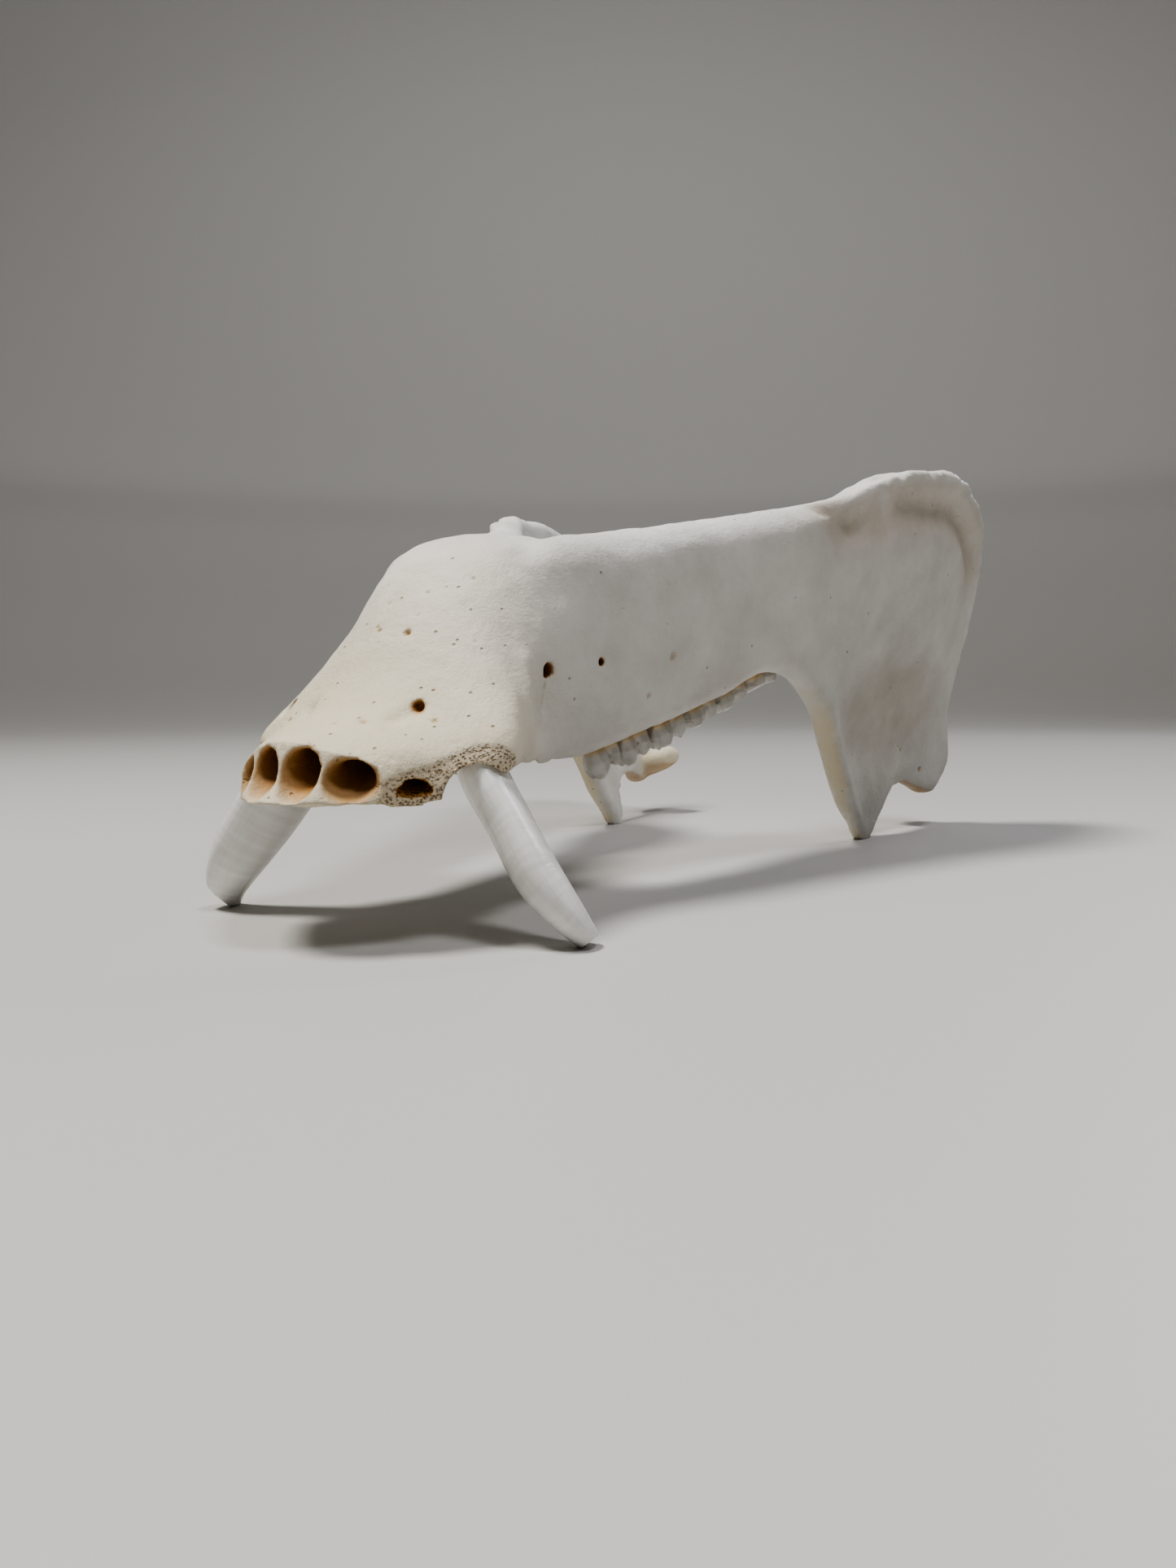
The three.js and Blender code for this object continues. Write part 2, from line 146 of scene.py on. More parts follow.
# Each lobe's share of the length and of the height, from the front one back.
SMALL_HEEL = ((0.68, 1), (0.32, 0.78))
TWO_LOBES = ((0.56, 1), (0.44, 0.86))
FOUR_LOBES = ((0.32, 1), (0.28, 0.92), (0.23, 0.84), (0.17, 0.7))
TEETH = [
    ("premolar_2", 12.2, 5.6, 9, SMALL_HEEL, 1),
    ("premolar_3", 12.4, 6.8, 8.8, TWO_LOBES, 1),
    ("premolar_4", 15.6, 9, 8.2, TWO_LOBES, 2),
    ("molar_1", 15.8, 10.6, 7.2, TWO_LOBES, 2),
    ("molar_2", 17, 12.4, 7, TWO_LOBES, 2),
    ("molar_3", 34, 14.4, 6.6, FOUR_LOBES, 2),
]
ROOT_DEPTH = 7
SOCKET_WIDER = 0.6  # how much longer and wider than its root a tooth's socket is
# Shares of a tooth's size; the last two are for teeth with two rows of lobes.
NECK_WIDTH = 0.84
LOBE_PLACES = 0.97
LOBE_LENGTH = 1.04
ROW_DISTANCE = 0.46
ROW_WIDTH = 0.56
# One lobe from the neck to the chewing face: shares of the height and of the full section.
LOBE_LEVELS = ((-0.1, 0.68), (0.15, 0.86), (0.42, 1), (0.78, 0.95), (0.95, 0.74), (1, 0.42))
ROOF_FALL = 0.3  # how far a lobe's roof falls to its ends, as a share of the crown's height
WORN_TO = 0.93  # the share of the height that wear has left
# The upright crests of a crown's sides: their height, their width, and its share of their length.
CREST_HEIGHT = 1.1
CREST_SIZE = 4.2
CREST_STRETCH = 0.22

# Incisor sockets from the blind end out to the open gutter past the mouth: middle, half width, half
# height, and the degrees its width is turned from X. The third one is small and broken.
SOCKETS = [[
    (3.9, -123, 47.3, 1.6, 1.3, 5),
    (4.1, -135, 41.9, 3, 2.8, 5),
    (4.4, -141, 38.9, 3.5, 3.5, 8),
    (4.5, -144.5, 37.2, 3.9, 4.5, 10),
    (4.7, -147.5, 36.2, 4.2, 5, 12),
    (5.3, -151.5, 36.5, 4.4, 5.4, 14),
], [
    (9.8, -121, 46.4, 1.6, 1.3, 8),
    (11.2, -131, 40.8, 3.5, 3.1, 10),
    (12.4, -137, 36.9, 4.2, 3, 25),
    (13.4, -141, 35.6, 5.1, 4.2, 38),
    (15.2, -143.5, 35.8, 5.7, 5, 42),
    (18, -147, 38, 6, 7, 42),
], [
    (20.4, -128.2, 36, 1, 0.8, 30),
    (21.5, -130.2, 34.8, 2.2, 1.3, 40),
    (22.6, -132.2, 33.7, 3.5, 1.7, 50),
    (25.2, -134.5, 32.2, 4, 1.4, 50),
]]
SOCKET_RAGGEDNESS = (0, 0, 0.16)

# The worn front of the chin, where the edges of the sockets have gone back behind the lower lip:
# X, and the points (Y, Z) of the edge there, from the lip upwards.
WORN_FRONT = [
    (0, [(-150.9, 31.3), (-147.8, 34.6), (-146.5, 39), (-145, 44)]),
    (9, [(-148.6, 31), (-146.2, 34), (-144.6, 37.5), (-143.2, 41.5)]),
    (17.6, [(-140.2, 31), (-139, 33), (-138.4, 35), (-138, 38)]),
    (20.5, [(-140.5, 31), (-140, 33), (-140, 35), (-140, 38)]),
]

# Nerve openings: a point outside, a point inside the wall, the radii there, and how far the left
# side's one lies from its mirrored place.
FORAMINA = [
    ((19, -128.5, 49.4), (13.6, -118, 50), (4, 1), (-11, 7, 0)),
    ((33, -90, 56.5), (22, -84, 59), (3.2, 1), (0, 2, 1)),
    ((36, -70.3, 59.8), (28, -67, 60.4), (1.7, 0.8), (0, -2, 2)),
    ((50, 92, 53), (61, 70, 64), (3.4, 1.6), (0, 1, 0)),
]

# Small pits, furrows' ends and vessel openings: the place on the skin, the radius, depth and brown, which
# is stain and painted shade inside the pit.
PITS = [
    (4.4, -109.9, 66.1, 1, 0.9, 1),
    (-4.2, -109.2, 67, 0.7, 0.5, 0.8),
    (-5.2, -108.6, 67.8, 0.6, 0.5, 0.8),
    (13, -96.2, 78.9, 0.6, 0.4, 0.7),
    (4.3, -101.9, 75.9, 0.5, 0.4, 0.7),
    (-5.5, -103.9, 73.4, 0.6, 0.4, 0.6),
    (4.8, -106.5, 70.5, 0.5, 0.3, 0.5),
    (19.2, -104.9, 64.2, 0.5, 0.3, 0.5),
    (7.2, -129.8, 47, 0.9, 0.5, 0.6),
    (8.4, -130, 47, 0.6, 0.4, 0.5),
    (16.4, -116.7, 53.6, 0.5, 0.3, 0.5),
    (20.4, -122.3, 46.9, 0.8, 0.6, 0.8),
    (2.2, -132.2, 46.5, 0.5, 0.3, 0.5),
    (6.2, -143.9, 42.4, 0.8, 0.5, 0.8),
    (5.4, -143.4, 42.6, 0.5, 0.4, 0.7),
    (28.1, -87.5, 54.3, 0.7, 0.6, 1),
    (28.2, -87.1, 50.3, 0.8, 0.7, 1),
    (38.4, -42.6, 61.7, 1.5, 0.5, 0.35),
    (35.1, -49.4, 52, 1, 0.5, 0.4),
    (38.8, -46.6, 80.2, 1.1, 0.2, 0.1),
    (40.2, -44, 80.6, 0.7, 0.15, 0.1),
    (62.1, 107.3, 31.2, 0.8, 0.5, 0.5),
    (62.8, 126.3, 23, 1.1, 0.5, 0.6),
]
LEFT_PIT_SHIFT = (0, 2.5, -1.5)
MIDLINE_REACH = 16  # pits nearer the midline than this have no twin on the left

# Broad forms of the outer side: the middle, the reach along each axis, the rise and the border's
# sharpness. A rise below 0 is a hollow.
MOUNDS = [
    ((74, 70, 92), (20, 14, 12), 1.2, 2),
    ((65, 89, 45), (30, 39, 21), -2.2, 6),
    ((64, 33.5, 114), (8, 6, 5), 0.9, 2),
    ((71, 41.5, 117), (9, 6.5, 6), -2.6, 2),
    ((66, 30, 99), (12, 7, 11), -0.7, 2),
    ((29, -92, 38), (4, 3.5, 3), 0.8, 2),
    ((28, -88, 47), (8, 5.5, 11), -1.7, 2),
    ((40, -30, 72), (14, 34, 13), 0.5, 2),
]

# Crests and furrows of the outer side: points along each, its half width and its rise.
RIDGES = [
    ([(27.5, -97, 60), (29, -98.5, 48), (29, -96.5, 39)], 2.4, 1.2),
    ([(52.5, 30, 55), (54, 44, 44), (53.5, 60, 27), (52.5, 75, 13), (51, 90, 2)], 2.4, 0.9),
    ([(58, 47, 49), (57, 63, 34), (55, 80, 18)], 4.5, -0.6),
    ([
        (59, 44, 58.5), (62.2, 54.8, 63.2), (66, 71.9, 66.6), (69.2, 93.7, 68.2), (71, 113, 65.8),
        (70.6, 124, 59),
    ], 2.4, 0.5),
    ([(64, 29.7, 100.5), (63.2, 25.3, 89.5), (61.3, 26.9, 77.7), (58.8, 30.5, 65.6)], 8, -1.8),
    ([(58.6, 33, 60), (57, 38, 51), (55.5, 49, 38), (54.6, 63.6, 22.7)], 3, 0.8),
    ([(15, -121.4, 49.6), (13.9, -123.6, 48.2), (12.9, -126, 47.2)], 2, -1.3),
    ([(27.6, -86.2, 56), (27.8, -86.4, 52.5), (27.8, -86.6, 49)], 1.7, -1.3),
]
UNEVENNESS = [(0.28, 14, 3), (0.16, 4, 5)]  # of the whole bone: rise, size of the lumps and seed
LEFT_CHIN = ((21, -123, 46), 9, 0.9)  # the left tusk's swelling is lower: middle, reach, drop

# The angle's thickened rim: the ribs that end in it, the Z it sets in over, and its swelling, rough
# edge and hollow, each as rise, distance from the border and half width.
ANGLE_RIBS = slice(7, 19)
RIM_Z = (78, 104)
RIM_FORMS = [(1.3, 3, 3), (0.5, 0, 5), (-3.2, 12, 6)]

# The left coronoid process is slimmer: the Z and Y of the right one's front border, how much further
# back the left one's lies, how far behind it the difference has faded away, and the Y it sets in over.
LEFT_CORONOID = (
    (-2, 5.3, 13.7, 23, 34, 44.5, 51, 56),
    (94.5, 82.5, 70, 60, 50, 40, 30, 20),
    (0, 4, 6, 8.5, 8, 5, 2, 0),
)
LEFT_CORONOID_FADE = 30
LEFT_CORONOID_Y = (20, 44)

# The porous rim of each tusk's socket: its crest as (Y, Z) from the chin backwards, its inner end and
# its depth; where its share is over the last number, the faces are split.
RIM_CREST = [
    (-138.5, 35.3), (-134, 37.1), (-129.2, 38.5), (-123.3, 41.2), (-120.4, 42.3), (-117.7, 42.3),
    (-112.5, 39),
]
RIM_FROM_X = 17
RIM_DEPTH = 0.35
RIM_SPLIT_FROM = 0.3

# Condyle: X along the bar and its radius there, where the bar starts, and its slope in Y and Z.
CONDYLE = [(44.5, 1.6), (46, 3.8), (50, 5.2), (55, 5.5), (60, 5.2), (64.5, 3.8), (67, 1.6)]
CONDYLE_START = (44, 138, 26.5)
CONDYLE_SLOPE = (0.12, -0.35)
CONDYLE_FLATTENING = 1.8

# The shelf of bone behind and inside the last molars: points along it and its radius there.
SHELF = [
    (32, -14, 58.5, 7),
    (35, 8, 66, 9.5),
    (37.5, 28, 71.5, 10),
    (42, 45, 76.5, 9.5),
    (51, 57, 82, 7),
    (60, 67, 87, 3.5),
]
SHELF_FLATTENING = 1.4

# Pits made by Geometry Nodes: the tree's inputs, and their values for the rim and for vessel dots.
PORE_INPUTS = {
    "Where": "String", "Spacing": "Float", "Density": "Float", "Radius": "Float", "Rise": "Float",
    "Seed": "Int", "Material": "Material",
}
PORE_LAYERS = [
    ("pored", 0.9 * MM, 1e6, 0.33 * MM, -0.25 * MM, 7),
    ("dotted", 3.5 * MM, 6e4, 0.6 * MM, -0.25 * MM, 11),
]
DOTTED_LEAST = 0.05  # the share of vessel dots far from the chin
DOTTED_CHIN = 0.25  # what the chin has more

PORE_SIZE = 0.7  # of the pores that the bone's finish draws
SOCKET_TINT = 0.22  # what the sockets' stain and painted shade add to the painted shade of a hollow


def ease(value, low, high):
    t = np.clip((np.asarray(value, float) - low) / (high - low), 0, 1)
    return t * t * (3 - 2 * t)


def reach_to(points, rows):
    """The distance from each point to the nearest of the rows."""
    nearest = np.full(len(points), np.inf)
    for row in np.asarray(rows, float):
        nearest = np.minimum(nearest, norm(points - row, axis=1))
    return nearest


def through(points, steps, closed=False):
    """Rows on a smooth curve that runs through the given rows."""
    rows = np.asarray(points, float)
    if closed:
        guides = np.concatenate([rows[-1:], rows, rows[:2]])
    else:
        guides = np.concatenate([2 * rows[:1] - rows[1:2], rows, 2 * rows[-1:] - rows[-2:-1]])
    made = []
    for i in range(len(guides) - 3):
        a, b, c, d = guides[i : i + 4]
        for t in np.arange(steps) / steps:
            curve = (2 * a - 5 * b + 4 * c - d) * t**2 + (3 * b - a - 3 * c + d) * t**3
            made.append(0.5 * (2 * b + (c - a) * t + curve))
    if not closed:
        made.append(rows[-1])
    return np.array(made)


def unit(rows):
    rows = np.asarray(rows, float)
    return rows / norm(rows, axis=-1, keepdims=True)


def turns(count, start=0):
    """Angles evenly round a circle."""
    return 2 * math.pi * (np.arange(count) + start) / count


def bell(distance, width):
    return np.exp(-((distance / width) ** 2))


def skin(rings):
    """Points and faces of a closed skin over rings that have the same number of points."""
    rings = np.asarray(rings, float)
    rows, count = rings.shape[:2]
    points = np.concatenate([rings.reshape(-1, 3), [rings[0].mean(0), rings[-1].mean(0)]])
    here = np.arange(count)
    after = (here + 1) % count
    faces = []
    for row in range(rows - 1):
        low, high = row * count, (row + 1) * count
        faces += np.stack([low + here, low + after, high + after, high + here], 1).tolist()
    first, last = rows * count, rows * count + 1
    top = (rows - 1) * count
    faces += [[first, b, a] for a, b in zip(here.tolist(), after.tolist())]
    faces += [[last, top + a, top + b] for a, b in zip(here.tolist(), after.tolist())]
    return points, faces


def solid(name, shells):
    """An object made of closed skins, with its faces pointing outwards."""
    points, faces = [], []
    for shell_points, shell_faces in shells:
        faces += [[len(points) + i for i in face] for face in shell_faces]
        points += shell_points.tolist()
    mesh = bpy.data.meshes.new(name)
    mesh.from_pydata(((points - ORIGIN) * MM).tolist(), [], faces)
    shape = bmesh.new()
    shape.from_mesh(mesh)
    bmesh.ops.recalc_face_normals(shape, faces=shape.faces)
    shape.to_mesh(mesh)
    shape.free()
    return linked(name, mesh)


def linked(name, data):
    """A new object in the scene."""
    obj = bpy.data.objects.new(name, data)
    bpy.context.collection.objects.link(obj)
    return obj


def applied(obj):
    """Makes the modifiers' result the object's own mesh."""
    seen = obj.evaluated_get(bpy.context.evaluated_depsgraph_get())
    mesh = bpy.data.meshes.new_from_object(seen)
    obj.modifiers.clear()
    old = obj.data
    obj.data = mesh
    mesh.name = old.name
    bpy.data.meshes.remove(old)
    return obj


def remeshed(obj, size):
    """One even skin round everything in the object, with faces of this size."""
    modifier = obj.modifiers.new("even_skin", "REMESH")
    modifier.mode = "VOXEL"
    modifier.voxel_size = size * MM
    return applied(obj)


def cut(obj, cutter):
    modifier = obj.modifiers.new("cut", "BOOLEAN")
    modifier.operation = "DIFFERENCE"
    modifier.solver = "MANIFOLD"
    modifier.object = cutter
    applied(obj)
    bpy.data.objects.remove(cutter)


def read(rows, name, width, kind=float):
    values = np.empty(len(rows) * width, kind)
    rows.foreach_get(name, values)
    return values.reshape(-1, width)


def positions(obj):
    """The points of an object, in the tables' millimetres."""
    return read(obj.data.vertices, "co", 3) / MM + ORIGIN


def place(obj, points):
    obj.data.vertices.foreach_set("co", ((points - ORIGIN) * MM).ravel())
    obj.data.update()


def edges_of(obj):
    return read(obj.data.edges, "vertices", 2, np.int32)


def normals_of(obj):
    return read(obj.data.vertex_normals, "vector", 3)


def neighbours_sum(values, edges):
    near = np.bincount(edges[:, 0], values[edges[:, 1]], len(values))
    return near + np.bincount(edges[:, 1], values[edges[:, 0]], len(values))


def averaged(values, edges, rounds):
    """Values at the points, each evened out with its neighbours' again and again."""
    shares = np.bincount(edges.ravel(), minlength=len(values))
    for _ in range(rounds):
        values = (values + neighbours_sum(values, edges)) / (1 + shares)
    return values


def relaxed(points, edges, rounds, share=0.5, back=0.53):
    """Smooths without shrinking: a step towards the neighbours' middle and a step back."""
    shares = np.maximum(1, np.bincount(edges.ravel(), minlength=len(points)))[:, None]
    for _ in range(rounds):
        for factor in (share, -back):
            middle = np.stack([neighbours_sum(column, edges) for column in points.T], 1) / shares
            points = points + factor * (middle - points)
    return points


def mirrored(rings):
    """The left side: the mirror image, but for its slimmer coronoid process and lower angle."""
    left = np.array(rings, float)
    left[..., 1] += coronoid_shift(left)
    left[..., 2] -= angle_drop(left)
    return left * (-1, 1, 1)


def coronoid_shift(points):
    heights, border, back = LEFT_CORONOID
    behind = points[..., 1] - np.interp(points[..., 2], heights, border)
    near = 1 - ease(behind, 0, LEFT_CORONOID_FADE)
    return near * np.interp(points[..., 2], heights, back) * ease(points[..., 1], *LEFT_CORONOID_Y)


def angle_drop(points):
    share = ease(points[..., 1], *ANGLE_DROP_Y) * ease(points[..., 2], *ANGLE_DROP_Z)
    return LEFT_ANGLE_DROP * share


def as_right(points):
    """The points as they would lie on the right side of the jaw, and which side they are on."""
    side = np.where(points[:, 0] < 0, -1, 1)
    at = points.copy()
    at[:, 0] = np.abs(at[:, 0])
    at[:, 2] += np.where(side < 0, angle_drop(at), 0)
    return at, side


def both_sides(rings):
    return [skin(rings), skin(mirrored(rings))]


def side_rings(steps=6, count=56):
    """The side wall: body, angle, coronoid process and neck, swept from the chin to the condyle."""
    tops, lows, thick = np.split(through(RIBS, steps), 3, axis=1)
    along = unit(np.gradient((tops + lows) / 2, axis=0))
    edge = lows - tops
    length = norm(edge, axis=1)
    edge = edge / length[:, None]
    across = unit(np.cross(edge, along))
    angle = turns(count)
    u = (1 - np.cos(angle)) / 2
    rings = []
    for i in range(len(tops)):
        a, m, b = thick[i] / 2
        half = a * (1 - u) * (1 - 2 * u) + m * 4 * u * (1 - u) + b * u * (2 * u - 1)
        for gap in (u * length[i] / a, (1 - u) * length[i] / b):
            half = half * np.sqrt(np.where(gap < 1, gap * (2 - gap), 1))
        half = half * np.sign(np.round(np.sin(angle), 9))
        rings.append(tops[i] + edge[i] * (u * length[i])[:, None] + across[i] * half[:, None])
    return np.array(rings)


def chin_rings(steps=5, between=5):
    outlines = []
    for y, top, half, inner in CHIN:
        right = [(x, y, z) for x, z in half]
        left = [(-x, y, z) for x, z in reversed(half)]
        outlines.append(through([(0, y, top), *right, (0, y, inner), *left], between, closed=True))
    rings = through(np.array(outlines).reshape(len(CHIN), -1), steps).reshape(-1, len(outlines[0]), 3)
    reach, bend, start = CHIN_REAR
    rings[..., 1] += bend * (rings[..., 0] / reach) ** 2 * ease(rings[..., 1], start, CHIN[-1][0])
    return rings


def bar_rings(points, radii, count=20, flatten=1.0):
    """A round bar that changes radius from point to point."""
    points = np.asarray(points, float)
    along = unit(np.gradient(points, axis=0))
    u = unit(np.cross((0, 0, 1), along))
    w = np.cross(along, u)
    c, s = np.cos(turns(count))[:, None], np.sin(turns(count))[:, None]
    radii = np.asarray(radii, float)[:, None, None]
    return points[:, None] + radii * (u[:, None] * c * flatten + w[:, None] * s)


def condyle_rings():
    x, radii = through(CONDYLE, 4).T
    start, y, z = CONDYLE_START
    points = np.stack([x, y + CONDYLE_SLOPE[0] * (x - start), z + CONDYLE_SLOPE[1] * (x - start)], 1)
    return bar_rings(points, radii, 24, CONDYLE_FLATTENING)


def shelf_rings():
    rows = through(SHELF, 4)
    return bar_rings(rows[:, :3], rows[:, 3], 24, SHELF_FLATTENING)


def tusk_frames(steps):
    """Centre, wide and narrow side and half widths along a tusk, square to its curve."""
    rows = through(TUSK, steps)
    along = unit(np.gradient(rows[:, :3], axis=0))
    wide = np.array(TUSK_LONG_AXIS, float)
    wide = unit(wide - along * (along @ wide)[:, None])
    return rows[:, :3], wide, np.cross(along, wide), rows[:, 3:]


def tusk_rings(grow=0.0, steps=14, count=48):
    """Rings of a tusk: a triangle with very round corners, and a low ridge along its front."""
    points, wide, narrow, halves = tusk_frames(steps)
    angle = turns(count)
    turned = (angle + CORNER_TURN + math.pi) % (2 * math.pi) - math.pi
    corner = TUSK_BODY + TUSK_CORNERS * np.cos(3 * turned) + TUSK_RIDGE * bell(turned, RIDGE_WIDTH)
    swell = 1 - TUSK_FLATTER * np.cos(angle)
    a = (halves[:, :1] * corner + grow) * np.cos(angle)
    b = (halves[:, 1:] * swell * corner + grow) * np.sin(angle)
    return points[:, None] + wide[:, None] * a[..., None] + narrow[:, None] * b[..., None]


def tusk_socket_rings(steps=10, count=32):
    """The tusk's socket: close round the tusk, and open towards the chin at its mouth."""
    points, _, narrow, _ = tusk_frames(steps)
    open_share = ease(points[:, 2], *SOCKET_MOUTH_Z)[:, None]
    room = SOCKET_MOUTH_ROOM * open_share * np.maximum(0, np.sin(turns(count)))
    return tusk_rings(TUSK_CLEARANCE, steps, count) + narrow[:, None] * room[..., None]


def tusk_sleeve_rings(thickness):
    """The bone that swells out over the root of a tusk, down to the socket's mouth."""
    return tusk_rings(thickness, 8, 40)[tusk_frames(8)[0][:, 2] > SLEEVE_END_Z]


def tooth_bases():
    """Each tooth's place on the row: middle of its socket border, along, outwards and crownwards."""
    row = through(ROW, 60)
    reach = np.concatenate([[0], np.cumsum(norm(np.diff(row, axis=0), axis=1))])
    tangents = unit(np.gradient(row, axis=0))
    frames, start = [], TOOTH_SPACE
    for _, length, *_ in TEETH:
        at = start + length / 2
        start += length + TOOTH_SPACE
        origin, along = (np.array([np.interp(at, reach, c) for c in rows.T]) for rows in (row, tangents))
        along = unit(along)
        out = unit([along[1], -along[0], 0])
        frames.append((origin, along, out, unit(np.cross(along, out))))
    return frames


def block_rings(base, length, width, levels, count=28, shift=(0, 0), power=0.75):
    """Rings of a rounded block on a tooth's frame: a level is a height and a share of full size."""
    origin, along, out, crown = base
    angle = turns(count, 0.5)
    c, s = (np.sign(f) * np.abs(f) ** power for f in (np.cos(angle), np.sin(angle)))
    rings = []
    for height, share in levels:
        middle = origin + crown * height + along * shift[0] + out * shift[1]
        ring = middle + np.outer(c * length / 2 * share, along) + np.outer(s * width / 2 * share, out)
        rings.append(ring)
    return rings


def worn(points, spot, normal):
    """Points beyond a flat worn face are brought back onto it."""
    normal = unit(normal)
    beyond = np.maximum(0, (points - np.asarray(spot, float)) @ normal)
    return points - beyond[:, None] * normal


def stored(obj, name, values):
    """Keeps one number for each point of the mesh, for the materials to read."""
    attribute = obj.data.attributes.new(name, "FLOAT", "POINT")
    attribute.data.foreach_set("value", np.asarray(values, np.float32))


def roughness(points, size, seed, octaves=3):
    """Seeded noise at the points, from about -1 to 1, with lumps of this size in millimetres."""
    shift = Vector((seed * 17.3, seed * 5.1, seed * 9.7))
    rows = (Vector(point) / size + shift for point in points.tolist())
    return np.array([noise.fractal(row, 1.0, 2.0, octaves) for row in rows])


def hollowness(obj, reach, rays=10):
    """The share of ways outwards from each point that soon meet the object's own surface."""
    mesh = obj.data
    tree = BVHTree.FromPolygons([v.co for v in mesh.vertices], [tuple(p.vertices) for p in mesh.polygons])
    golden_turn = math.pi * (3 - math.sqrt(5))
    spread = []
    for k in range(rays):
        up = 1 - (k + 0.5) / rays * 0.8
        flat = math.sqrt(1 - up * up)
        spread.append(Vector((flat * math.cos(golden_turn * k), flat * math.sin(golden_turn * k), up)))
    values = []
    for vertex in mesh.vertices:
        turned = vertex.normal.to_track_quat("Z", "Y")
        start = vertex.co + vertex.normal * 0.05 * MM
        hits = [tree.ray_cast(start, turned @ way, reach * MM)[3] for way in spread]
        values.append(sum(1 - hit / (reach * MM) for hit in hits if hit is not None) / rays)
    return np.array(values)


def add(tree, kind, given=(), stops=(), **settings):
    """A node with its settings. given has values, nodes or outputs for its open sockets, in order
    or by name."""
    node = tree.nodes.new(kind)
    for key, value in settings.items():
        setattr(node, key, value)
    if isinstance(given, dict):
        pairs = [(node.inputs[name], value) for name, value in given.items()]
    else:
        pairs = zip([socket for socket in node.inputs if socket.enabled], given)
    for socket, value in pairs:
        if isinstance(value, bpy.types.Node):
            value = next(output for output in value.outputs if output.enabled)
        if isinstance(value, bpy.types.NodeSocket):
            tree.links.new(value, socket)
        else:
            is_colour = isinstance(value, str) and value.startswith("#")
            socket.default_value = linear(value) if is_colour else value
    for number, (spot, code) in enumerate(stops):
        elements = node.color_ramp.elements
        element = elements[number] if number < len(elements) else elements.new(spot)
        element.position, element.color = spot, linear(code)
    return node


def linear(code):
    """A colour written as sRGB hex, as the linear values that Blender uses."""
    parts = [int(code[i : i + 2], 16) / 255 for i in (1, 3, 5)]
    return (*[c / 12.92 if c <= 0.04045 else ((c + 0.055) / 1.055) ** 2.4 for c in parts], 1.0)


def noise_size(size):
    """The scale of a texture whose lumps or cells are about this many millimetres across."""
    return 1 / (size * MM)


def material_of(name, look):
    """A material with one surface, whose values its look gives."""
    material = bpy.data.materials.new(name)
    material.use_nodes = True
    tree = material.node_tree
    tree.nodes.clear()
    add(tree, "ShaderNodeOutputMaterial", (add(tree, "ShaderNodeBsdfPrincipled", look(tree)),))
    return material


